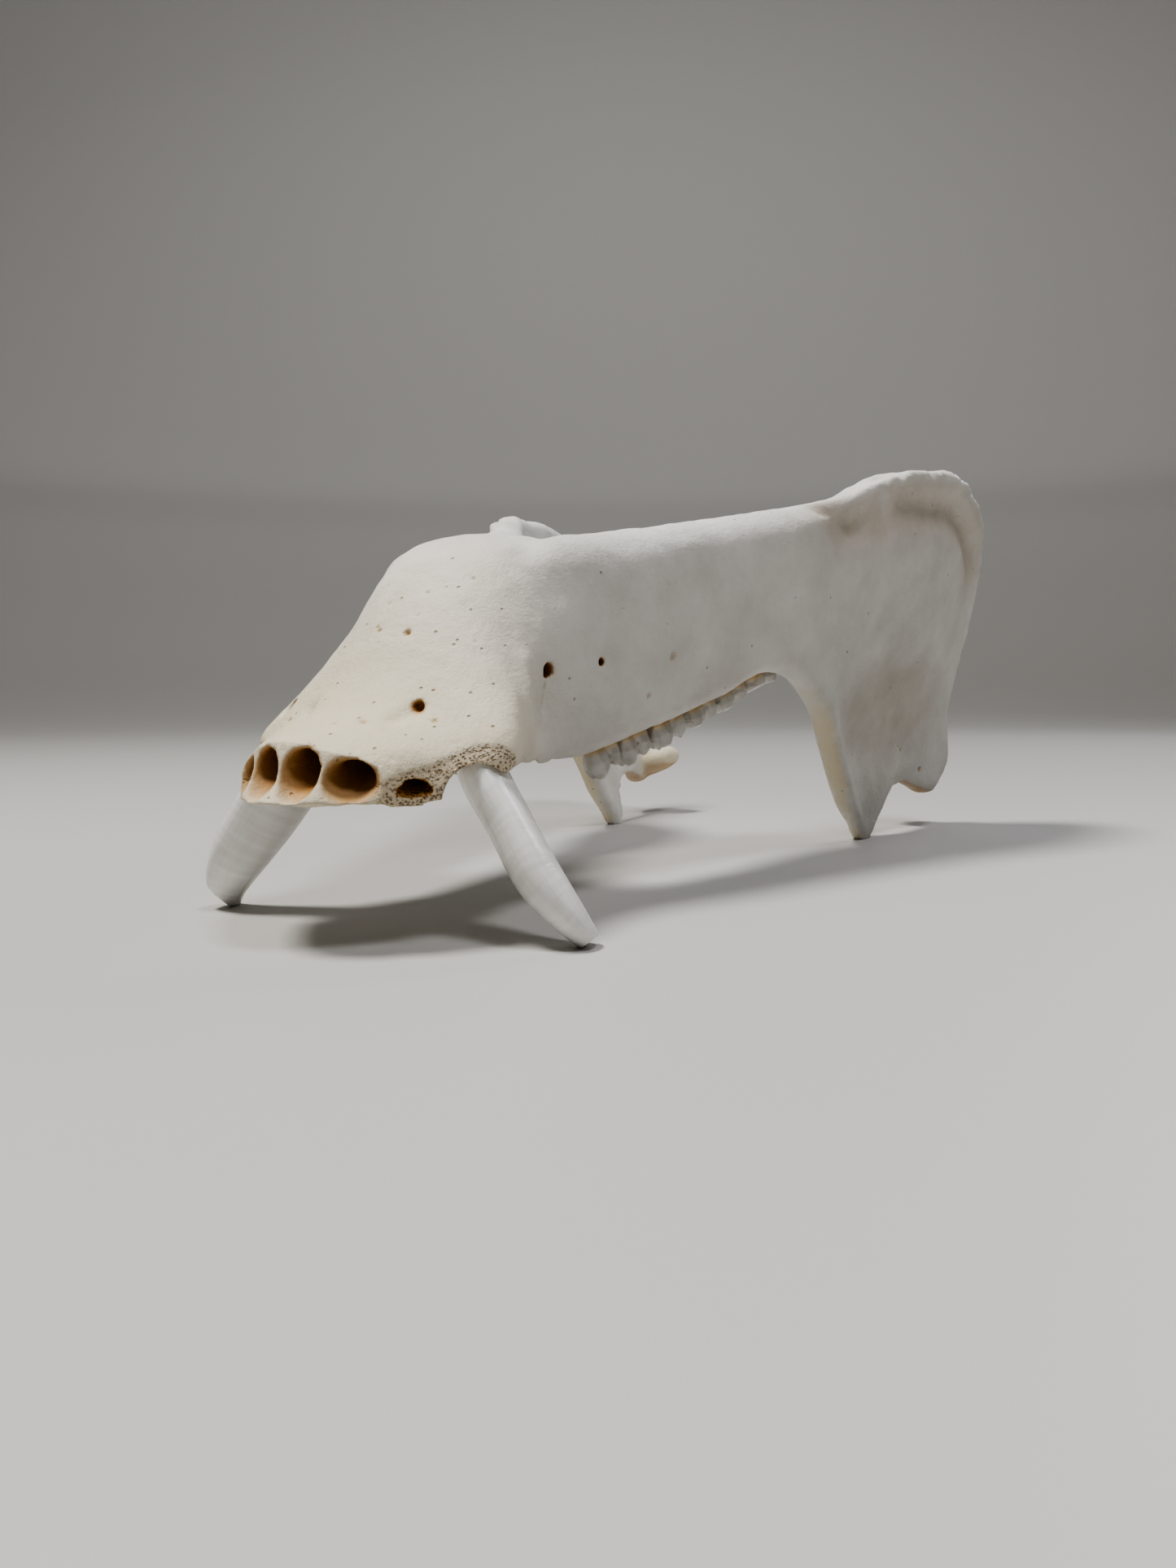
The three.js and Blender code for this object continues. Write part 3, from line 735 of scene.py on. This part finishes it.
def bleached_bone(tree):
    """Macerated and peroxide-bleached jaw bone, so matt chalky ivory, with tan and painted shade in its
    hollows.

    The attributes carry the colours: cream towards the chin, tan where the surface is rough, tan as painted
    shade in the fossa and on faces turned down, tan as staining and painted shade behind the angle's rim,
    in the sockets and in the pits, painted shade that turns dark brown only inside holes, and open pores on
    the rims.
    """
    spot = add(tree, "ShaderNodeTexCoord").outputs["Object"]
    hollow, cream, tan, pored, dotted = (
        add(tree, "ShaderNodeAttribute", attribute_name=name).outputs["Fac"]
        for name in ("hollow", "cream", "tan", "pored", "dotted")
    )
    clouds, mottle, wobble, chalk = (
        add(tree, "ShaderNodeTexNoise", (spot, noise_size(size), detail, rough))
        for size, detail, rough in ((22, 5, 0.6), (6, 6, 0.7), (1.2, 2, 0.5), (2, 6, 0.72))
    )

    # Vessel dots about 0.5 mm across, in only some of the cells, and in fewer away from the chin.
    cells = add(tree, "ShaderNodeTexVoronoi", (spot, noise_size(2.6)))
    chance = add(tree, "ShaderNodeSeparateColor", (cells.outputs["Color"],))
    held = add(tree, "ShaderNodeMath", (chance, dotted), operation="LESS_THAN")

    # Open pores of the rim, drawn up to 0.7 mm across, above the real 0.2 to 0.6 mm, so that they show.
    pore_way = add(
        tree, "ShaderNodeVectorMath", (wobble.outputs["Color"], (PORE_SIZE * MM,) * 3, spot),
        operation="MULTIPLY_ADD",
    )
    holes = add(tree, "ShaderNodeTexVoronoi", (pore_way, noise_size(PORE_SIZE)))

    # The shares of tan, of dots, of pores and of the painted shade inside holes.
    mottled, dot, pore, deep = (
        add(tree, "ShaderNodeMapRange", values)
        for values in (
            (mottle, 0.35, 0.7, 0.7, 1.25), (cells, 0.08, 0.17, 1, 0), (holes, 0.12, 0.45, 1, 0),
            (hollow, 0.14, 0.5),
        )
    )
    tans, dots, pores = (
        add(tree, "ShaderNodeMath", pair, operation="MULTIPLY", use_clamp=True)
        for pair in ((tan, mottled), (dot, held), (pore, pored))
    )
    dot_tint, pore_tint = (
        add(tree, "ShaderNodeMath", pair, operation="MULTIPLY") for pair in ((dots, 0.55), (pores, 0.6))
    )
    # The second ramp is painted shade: tan to dark brown, the more a point is closed in by the bone.
    colour, hollow_shade_tint = (
        add(tree, "ShaderNodeValToRGB", (value,), stops)
        for value, stops in (
            (clouds, ((0.3, "#CFCDC6"), (0.5, "#DAD8D2"), (0.7, "#E5E3DE"))),
            (hollow, ((0.15, "#D9B680"), (0.45, "#B98748"), (0.85, "#6B4118"))),
        )
    )
    for share, tint in (
        (cream, "#E0D0A8"), (tans, "#B4936A"), (dot_tint, "#A57F4C"), (pore_tint, "#A8854F"),
        (deep, hollow_shade_tint),
    ):
        colour = add(tree, "ShaderNodeMix", (share, colour, tint), data_type="RGBA")

    # Grain of the bone: lamellae and fine scratches that run lengthwise, about 0.8 mm by 5 mm.
    lengthwise = add(tree, "ShaderNodeMapping", {"Vector": spot, "Scale": (1, 0.16, 1)})
    grain = add(tree, "ShaderNodeTexNoise", (lengthwise, noise_size(0.8), 5, 0.7))
    height = chalk
    for part, share in ((grain, 0.5), (dots, -1), (pores, -2.5)):
        height = add(tree, "ShaderNodeMath", (part, share, height), operation="MULTIPLY_ADD")
    bump = add(tree, "ShaderNodeBump", {"Height": height, "Strength": 0.9, "Distance": 0.0004})
    return {
        "Base Color": colour, "Normal": bump, "Roughness": 0.56, "IOR": 1.5,
        "Subsurface Weight": 0.05, "Subsurface Radius": (0.002, 0.0014, 0.001),
    }


def tusk_ivory(tree):
    """Polished tusk enamel: glossy cool white, with growth bands across and fine lines along.

    The bands and lines are what shows that it grew; the neck is a little yellower.
    """
    along, around = (
        add(tree, "ShaderNodeAttribute", attribute_name=name).outputs["Fac"] for name in ("along", "around")
    )
    spot = add(tree, "ShaderNodeCombineXYZ", (along, around))

    # Both attributes are in millimetres: bands about 2 mm wide, and lines under 1 mm wide.
    bands, lines = (
        add(tree, "ShaderNodeTexNoise", (add(tree, "ShaderNodeMapping", {0: spot, "Scale": way}), scale, 5))
        for way, scale in (((1, 0.12, 1), 0.55), ((0.05, 1, 1), 1.3))
    )
    colour = add(
        tree, "ShaderNodeValToRGB", (bands,), ((0.3, "#E6E5E1"), (0.5, "#EEEDEA"), (0.7, "#F4F4F2"))
    )
    for values, tint in (((lines, 0.45, 0.75, 0, 0.5), "#E1DCCF"), ((along, 22, 30, 0.35, 0), "#D3BE93")):
        share = add(tree, "ShaderNodeMapRange", values)
        colour = add(tree, "ShaderNodeMix", (share, colour, tint), data_type="RGBA")
    height = add(tree, "ShaderNodeMath", (bands, lines), operation="ADD")
    bump = add(tree, "ShaderNodeBump", {"Height": height, "Strength": 0.28, "Distance": 0.00035})
    return {
        "Base Color": colour, "Normal": bump, "Roughness": 0.2, "IOR": 1.6,
        "Subsurface Weight": 0.12, "Subsurface Radius": (0.003, 0.0027, 0.0024),
    }


def tooth_enamel(tree):
    """Cheek tooth enamel: satin grey white, yellow at the neck, and painted shade in yellow-brown between
    the lobes.
    """
    spot = add(tree, "ShaderNodeTexCoord").outputs["Object"]
    neck, hollow = (
        add(tree, "ShaderNodeAttribute", attribute_name=name).outputs["Fac"] for name in ("neck", "hollow")
    )
    clouds = add(tree, "ShaderNodeTexNoise", (spot, noise_size(5), 5))
    # Painted shade: the grooves between the lobes darken to yellow-brown, the more closed in they are.
    grooves = add(tree, "ShaderNodeMapRange", (hollow, 0.25, 0.7))
    # The enamel's grey is darker than the bone's, partly as painted shade for the teeth hanging under the
    # jaw.
    colour = add(
        tree, "ShaderNodeValToRGB", (clouds,), ((0.3, "#BDBAB1"), (0.55, "#CFCCC5"), (0.75, "#DBD9D3"))
    )
    for share, tint in ((neck, "#C9A566"), (grooves, "#A07A3C")):
        colour = add(tree, "ShaderNodeMix", (share, colour, tint), data_type="RGBA")
    bump = add(tree, "ShaderNodeBump", {"Height": clouds, "Strength": 0.35, "Distance": 0.0004})
    return {
        "Base Color": colour, "Normal": bump, "Roughness": 0.3, "IOR": 1.6,
        "Subsurface Weight": 0.08, "Subsurface Radius": (0.002, 0.0018, 0.0015),
    }


def pore_tree():
    """Pits a surface at points spread over it, most where the attribute named in Where is 1."""
    tree = bpy.data.node_groups.new("bone_pores", "GeometryNodeTree")
    for name, kind in {"Geometry": "Geometry", **PORE_INPUTS}.items():
        tree.interface.new_socket(name, in_out="INPUT", socket_type="NodeSocket" + kind)
    tree.interface.new_socket("Geometry", in_out="OUTPUT", socket_type="NodeSocketGeometry")
    group = add(tree, "NodeGroupInput").outputs
    where = add(tree, "GeometryNodeInputNamedAttribute", (group["Where"],), data_type="FLOAT")
    spread = add(
        tree, "GeometryNodeDistributePointsOnFaces",
        {
            "Mesh": group["Geometry"], "Distance Min": group["Spacing"], "Density Max": group["Density"],
            "Density Factor": where, "Seed": group["Seed"],
        },
        distribute_method="POISSON",
    )
    near = add(tree, "GeometryNodeProximity", (spread,), target_element="POINTS").outputs["Distance"]
    rise = add(
        tree, "ShaderNodeMapRange", (near, 0, group["Radius"], group["Rise"], 0),
        interpolation_type="SMOOTHSTEP",
    )
    normal = add(tree, "GeometryNodeInputNormal")
    offset = add(tree, "ShaderNodeVectorMath", (normal, rise), operation="SCALE")
    moved = add(tree, "GeometryNodeSetPosition", {"Geometry": group["Geometry"], "Offset": offset})
    real = add(tree, "GeometryNodeRealizeInstances", (moved,))
    finish = add(tree, "GeometryNodeSetMaterial", {"Geometry": real, "Material": group["Material"]})
    add(tree, "NodeGroupOutput", (finish,))
    return tree


def with_pores(obj, tree, *values):
    """Adds the pore modifier, with its named inputs set before it is first evaluated."""
    modifier = obj.modifiers.new("pores", "NODES")
    modifier.node_group = tree
    inputs = {item.name: item.identifier for item in tree.interface.items_tree if item.in_out == "INPUT"}
    for name, value in zip(PORE_INPUTS, values):
        modifier[inputs[name]] = value


def jaw_shells():
    shells = [skin(chin_rings())]
    for rings in (side_rings(), condyle_rings(), shelf_rings()):
        shells += both_sides(rings)
    left = mirrored(tusk_sleeve_rings(SLEEVE_LEFT))
    return shells + [skin(tusk_sleeve_rings(SLEEVE_RIGHT)), skin(left)]


def socket_rows(socket):
    """Rows along an incisor socket, with the turn in radians."""
    rows = np.array(socket, float)
    rows[:, 5] = np.radians(rows[:, 5])
    return through(rows, 5)


def socket_rings(socket, ragged, count=36):
    """The hollow of one incisor socket; a ragged one has a broken, uneven outline."""
    angle = turns(count)
    rows = socket_rows(socket)
    wide, high, turn = np.split(rows[:, 3:], 3, axis=1)
    row = np.arange(len(rows))[:, None]
    uneven = 1 + ragged * (np.sin(3 * angle + 0.9 * row) + 0.6 * np.sin(7 * angle - 1.7 * row))
    across = wide * np.cos(angle) * uneven
    ring = np.stack([across * np.cos(turn), across * np.sin(turn), high * np.sin(angle) * uneven], 2)
    return rows[:, None, :3] + ring


def worn_front_rings(steps=6, out=12, rise=3):
    """The blade that takes the chin's front back to the line of the socket edges."""
    right = np.array([[(x, y, z) for y, z in edge] for x, edge in WORN_FRONT])
    both = np.concatenate([right[:0:-1] * (-1, 1, 1), right])
    sections = through(both.reshape(len(both), -1), steps).reshape(-1, right.shape[1], 3)
    front = sections[:, ::-1] - (0, out, 0)
    front[:, 0, 2] += rise
    return np.concatenate([sections, front], 1)


def socket_cutters():
    shells = both_sides(tusk_socket_rings()) + [skin(worn_front_rings())]
    notch, half_height, wider = TUSK_NOTCH
    shells += both_sides(bar_rings(notch, [half_height] * 2, 32, wider))
    for socket, ragged in zip(SOCKETS, SOCKET_RAGGEDNESS):
        shells += both_sides(socket_rings(socket, ragged))
    for outside, inside, radii, left_shift in FORAMINA:
        rings = bar_rings([outside, inside], radii, 20)
        shells += [skin(rings), skin(mirrored(rings) + left_shift)]
    for (_, length, width, height, *_), base in zip(TEETH, tooth_bases()):
        levels = [(-ROOT_DEPTH - SOCKET_WIDER / 2, 0.74), (-1, 1), (height * 1.2, 1.05)]
        rings = block_rings(base, length + SOCKET_WIDER, width + SOCKET_WIDER, levels)
        shells += [skin(rings), skin(np.multiply(rings, (-1, 1, 1)))]
    return shells


def from_middle(points, middle, reach):
    """The distance from the middle, where 1 is the reach along each axis."""
    return np.sqrt((((points - middle) / reach) ** 2).sum(1))


def from_angle_border(points):
    return reach_to(points, through([rib[:3] for rib in RIBS[ANGLE_RIBS]], 6))


def broad_relief(points, normals):
    """How far the broad forms stand out from the plain skin."""
    at, side = as_right(points)
    outward = normals[:, 0] * side
    outer = np.maximum(ease(outward, -0.3, 0.3), ease(-normals[:, 1], 0.1, 0.4))
    height = sum(rise * roughness(points, size, seed) for rise, size, seed in UNEVENNESS)
    for middle, reach, rise, edge in MOUNDS:
        height += outer * rise * np.exp(-(from_middle(at, middle, reach) ** edge))
    for line, width, rise in RIDGES:
        height += outer * rise * bell(reach_to(at, through(line, 6)), width)
    middle, reach, drop = LEFT_CHIN
    height -= np.where(side < 0, drop * bell(reach_to(at, [middle]), reach), 0)
    border = from_angle_border(at)
    swelling, edge, hollow = (rise * bell(border - middle, width) for rise, middle, width in RIM_FORMS)
    lumpy = 1 + 0.5 * roughness(points, 9, 9) + 0.5 * roughness(points, 3, 12)
    swelling *= lumpy * ease(outward, 0, 0.6)
    hollow *= ease(outward, 0.1, 0.6)
    return height + ease(at[:, 2], *RIM_Z) * (swelling + edge * roughness(points, 4.5, 15) + hollow)


def rim_share(points, normals):
    """1 on the porous rim round the front of each tusk's socket, 0 away from it."""
    at, side = as_right(points)
    x, y, z = at.T
    front, back = RIM_CREST[0][0], RIM_CREST[-1][0]
    share = ease(np.interp(y, *np.transpose(RIM_CREST)) - z, -0.3, 1.2)
    share *= ease(x, RIM_FROM_X - 1, RIM_FROM_X + 1)
    share *= ease(-y, -back, 2 - back) * ease(y, front - 1, front + 1)
    return share * ease(0.6 * normals[:, 0] * side - 0.8 * normals[:, 1], -0.1, 0.3)


def pitted(points, spots):
    """The depth of the small pits at each point, and how much brown they give it, as staining and painted
    shade.
    """
    depth = stain_and_shade = np.zeros(len(points))
    for spot, radius, deep, brown in spots:
        away = norm(points - spot, axis=1) / radius
        depth = np.maximum(depth, deep * (1 - ease(away, 0.35, 1.1)))
        stain_and_shade = np.maximum(stain_and_shade, brown * (1 - ease(away, 0.6, 1.25)))
    return depth, stain_and_shade


def pit_spots(points):
    """The pits at their nearest points of the skin; those away from the midline have a left twin."""
    spots = []
    for *place, radius, deep, brown in PITS:
        places = [place]
        if place[0] > MIDLINE_REACH:
            places.append(np.multiply(place, (-1, 1, 1)) + LEFT_PIT_SHIFT)
        spots += [(points[np.argmin(reach_to(points, [near]))], radius, deep, brown) for near in places]
    return spots


def finer(obj, share):
    """Splits the faces where the share is high, so that fine relief has points to stand on."""
    shape = bmesh.new()
    shape.from_mesh(obj.data)
    chosen = share > RIM_SPLIT_FROM
    edges = [e for e in shape.edges if chosen[e.verts[0].index] and chosen[e.verts[1].index]]
    bmesh.ops.subdivide_edges(shape, edges=edges, cuts=1, use_grid_fill=True)
    shape.to_mesh(obj.data)
    shape.free()


def socket_depth(points, normals):
    """How far in an incisor socket the points of its wall lie: 0 at the mouth, 1 at the blind end."""
    at, side = as_right(points)
    facing = normals.copy()
    facing[:, 0] *= side
    depth = np.zeros(len(points))
    for socket in SOCKETS:
        rows = socket_rows(socket)
        for share, row in zip(np.linspace(1, 0, len(rows)), rows):
            inward = row[:3] - at
            away = np.maximum(norm(inward, axis=1), 0.1)
            inside = 1 - ease(away, row[3:5].max() + 0.6, row[3:5].max() + 1.6)
            inside *= ease((inward * facing).sum(1) / away, 0, 0.4)
            depth = np.maximum(depth, inside * share)
    return depth


def stains_and_shade(points, normals, pores, pit_stain_and_shade, in_socket):
    """How cream and how tan the bone is at each point: the most that any of its areas gives. Part of the
    tan is staining, part is painted shade.
    """
    at, side = as_right(points)
    x, y, z = at.T
    outward = normals[:, 0] * side
    # Creamier towards the chin, on the condyle and on the front of the ramus.
    chin = 1 - ease(y, -128, -70)
    condyle = ease(y, 126, 134) * (1 - ease(z, 26, 34)) * (1 - ease(x, 58, 66))
    ramus_front = ease(-normals[:, 1], 0.35, 0.75) * ease(x, 38, 44)
    ramus_front *= (1 - ease(z, 52, 60)) * ease(y, 8, 22)
    cream = np.max([0.03 + 0.55 * chin, 0.55 * condyle, 0.6 * ramus_front], 0)
    # Stain and painted shade: tan in the hollow behind the angle's rim.
    behind_rim = bell(from_angle_border(at) - 13, 8) * ease(outward, 0, 0.5) * ease(z, *RIM_Z)
    # Painted shade: a tan tint in the hollow of the fossa.
    fossa = np.exp(-(from_middle(at, *MOUNDS[1][:2]) ** 4)) * ease(outward, 0, 0.4)
    # Painted shadow: tan on faces turned down to the floor between the coronoid process and the condyle.
    under = ease(-normals[:, 2], 0.4, 0.8) * ease(y, 96, 104) * (1 - ease(z, 24, 32))
    porous = ease(pores, 0.2, 0.8)
    tans = [0.3 * behind_rim, 0.2 * fossa, 0.7 * under, 0.3 * porous, 0.9 * in_socket, pit_stain_and_shade]
    return cream, np.max(tans, 0)


def jaw_bone(material):
    bone = remeshed(solid("mandible", jaw_shells()), BASE_SKIN)
    place(bone, relaxed(positions(bone), edges_of(bone), 14))
    normals = normals_of(bone)
    place(bone, positions(bone) + normals * broad_relief(positions(bone), normals)[:, None])
    cut(bone, remeshed(solid("sockets", socket_cutters()), FINE_SKIN))
    remeshed(bone, FINE_SKIN)
    place(bone, relaxed(positions(bone), edges_of(bone), 2))
    finer(bone, rim_share(positions(bone), normals_of(bone)))
    points, normals = positions(bone), normals_of(bone)
    spots = pit_spots(points)
    rim = rim_share(points, normals)
    sunk = pitted(points, spots)[0] + RIM_DEPTH * rim
    place(bone, on_floor(points - normals * sunk[:, None]))
    stored(bone, "pored", rim)
    stored(bone, "dotted", DOTTED_LEAST + DOTTED_CHIN * (1 - ease(points[:, 1], -120, -60)))
    tree = pore_tree()
    for layer in PORE_LAYERS:
        with_pores(bone, tree, *layer, material)
    bone.data.calc_loop_triangles()
    fewer = bone.modifiers.new("fewer", "DECIMATE")
    fewer.ratio = min(1, BONE_TRIANGLES / len(bone.data.loop_triangles))
    applied(bone)
    points, normals = positions(bone), normals_of(bone)
    # Stain and painted shade: the sockets grow tan and darker towards their blind ends.
    in_socket = ease(socket_depth(points, normals), 0.02, 0.5)
    # Stain and painted shade in the pits.
    pit_stain_and_shade = pitted(points, spots)[1]
    cream, tan = stains_and_shade(points, normals, rim_share(points, normals), pit_stain_and_shade, in_socket)
    # Painted shade: how closed in each point is, with the sockets' share added.
    stored(bone, "hollow", averaged(hollowness(bone, 9), edges_of(bone), 2) + SOCKET_TINT * in_socket)
    stored(bone, "cream", cream)
    stored(bone, "tan", tan)
    return bone


def on_floor(points):
    """The points, with those that would lie under the floor brought up to it."""
    return np.maximum(points, (-np.inf, -np.inf, FLOOR_Z))


def finished(piece, node):
    """Smooths the piece's shading, hides the part that it stands for and makes it ride on the root."""
    piece.data.shade_smooth()
    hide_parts(node)
    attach(piece, "root")


def tusk(name, side, material):
    rings = tusk_rings()
    rows, count = rings.shape[:2]
    reach = np.concatenate([[0], np.cumsum(norm(np.diff(rings.mean(1), axis=0), axis=1))])
    points, faces = skin(rings)
    points = on_floor(worn(points, *TUSK_WEAR[side])) * (side, 1, 1)
    piece = solid(name, [(points, faces)])
    stored(piece, "along", [*np.repeat(reach, count), 0, reach[-1]])
    stored(piece, "around", [*np.tile(np.sin(turns(count)) * TUSK_HALF_WIDTH, rows), 0, 0])
    piece.data.materials.append(material)
    return piece


def crown_rings(base, length, width, height, shift, count=24):
    """One lobe of a crown: upright sides, and a blunt roof that falls away to both ends."""
    rings = []
    for level, share in LOBE_LEVELS:
        ring = block_rings(base, length, width, [(height * level, share)], count, shift, 0.8)[0]
        fall = ROOF_FALL * height * ease(level, 0.4, 1) * np.abs(np.cos(turns(count, 0.5))) * share
        rings.append(ring - fall[:, None] * base[3])
    return rings


def tooth(name, side, sizes, base, material):
    length, width, height, lobes, rows = sizes
    origin, along, out, crown = base
    neck = [(-ROOT_DEPTH, 0.7), (0, 0.9), (height * 0.3, 0.88)]
    shells = [skin(block_rings(base, length, width * NECK_WIDTH, neck))]
    start = -length / 2
    for share, tall in lobes:
        middle = start + length * share / 2
        start += length * share
        for row in range(rows):
            shift = (middle * LOBE_PLACES, 0 if rows == 1 else (row - 0.5) * width * ROW_DISTANCE)
            lobe = (length * share * LOBE_LENGTH, width if rows == 1 else width * ROW_WIDTH, height * tall)
            shells.append(skin(crown_rings(base, *lobe, shift)))
    flip = (side, 1, 1)
    piece = remeshed(solid(name, [(points * flip, faces) for points, faces in shells]), TOOTH_SKIN)
    points = relaxed(positions(piece), edges_of(piece), 3) * flip
    local = (points - origin) @ np.transpose([along, out, crown])
    folds = np.abs(roughness(local * (1, 1, CREST_STRETCH), CREST_SIZE, len(name), 2))
    above = ease(local[:, 2], 0, 1.5)
    points -= normals_of(piece) * flip * (CREST_HEIGHT * folds * above)[:, None]
    wear = origin + crown * height * WORN_TO + out * width * 0.3
    points = worn(points, wear, crown + 0.55 * out - 0.12 * along)
    place(piece, points * flip)
    stored(piece, "neck", 0.8 * (1 - ease((points - origin) @ crown, 0.2, 2.2)))
    # How closed in each point is, for the painted shade between the lobes.
    stored(piece, "hollow", averaged(hollowness(piece, 3, 8), edges_of(piece), 1))
    piece.data.materials.append(material)
    return piece


def camera():
    """The photograph's own viewpoint."""
    turn, tilt, roll = (math.radians(v) for v in (28.9, -4.5, -0.2))
    ahead = Vector((-math.sin(turn) * math.cos(tilt), math.cos(turn) * math.cos(tilt), math.sin(tilt)))
    level = Vector((math.cos(turn), math.sin(turn), 0))
    right = math.cos(roll) * level + math.sin(roll) * level.cross(ahead)
    data = bpy.data.cameras.new("camera")
    data.sensor_width = 36
    data.lens = 27.05
    data.clip_start = 0.01
    view = linked("camera", data)
    turned = Matrix((right, right.cross(ahead), -ahead)).transposed().to_4x4()
    view.matrix_world = Matrix.Translation((0.168, -0.3223, 0.053)) @ turned
    bpy.context.scene.camera = view


def studio():
    """A pale floor that curves up into a round wall, and soft lights."""
    profile = [(0, 0), (0.6, 0), (1.4, 0), (1.9, 0.04), (2.25, 0.16), (2.5, 0.42), (2.6, 0.8), (2.62, 2.4)]
    profile = np.maximum(through(profile, 6), 0)
    count = 96
    x, y = np.cos(turns(count)), -np.sin(turns(count))
    points, faces = skin([np.stack([r * x, r * y, np.full(count, z)], 1) for r, z in profile[1:]])
    mesh = bpy.data.meshes.new("floor")
    mesh.from_pydata(points[:-1].tolist(), [], faces[:-count])
    mesh.shade_smooth()
    mesh.materials.append(material_of("pale_floor", lambda _: {"Base Color": "#C2C0BC", "Roughness": 0.5}))
    linked("floor", mesh)
    jaw, wall = (0, -0.02, 0.05), (-1.25, 2.28, 0.5)
    for name, spot, goal, size, power, colour in (
        ("key", (-0.35, -0.4, 1.3), jaw, 0.35, 15.5, "#FFFDFA"),
        ("fill", (0.5, -0.3, 1.25), jaw, 0.3, 5.5, "#F7F8FF"),
        ("back", (0.3, 1.1, 0.8), jaw, 0.6, 2.5, "#F4F6FF"),
        ("wall", (-0.5, 0.9, 1.8), wall, 1.2, 8.0, "#FFFFFF"),
    ):
        data = bpy.data.lights.new(name, "AREA")
        data.shape = "DISK"
        data.size = size
        data.energy = power
        data.color = linear(colour)[:3]
        light = linked(name, data)
        light.location = spot
        aim = Vector(goal) - Vector(spot)
        light.rotation_euler = aim.to_track_quat("-Z", "Y").to_euler()
    world = bpy.data.worlds.new("studio")
    world.use_nodes = True
    background = world.node_tree.nodes["Background"]
    background.inputs["Color"].default_value = linear("#E8ECF2")
    background.inputs["Strength"].default_value = 0.04
    bpy.context.scene.world = world
    bpy.context.scene.view_settings.look = "AgX - High Contrast"


camera()
studio()
bone_finish = material_of("bleached_bone", bleached_bone)
tusk_finish = material_of("tusk_ivory", tusk_ivory)
tooth_finish = material_of("tooth_enamel", tooth_enamel)
finished(jaw_bone(bone_finish), "jaw_bone")
for side, side_name in ((1, "right"), (-1, "left")):
    finished(tusk("tusk_ivory_" + side_name, side, tusk_finish), "tusk_" + side_name)
    for (name, *sizes), base in zip(TEETH, tooth_bases()):
        piece = tooth("crown_" + name + "_" + side_name, side, sizes, base, tooth_finish)
        finished(piece, name + "_" + side_name)
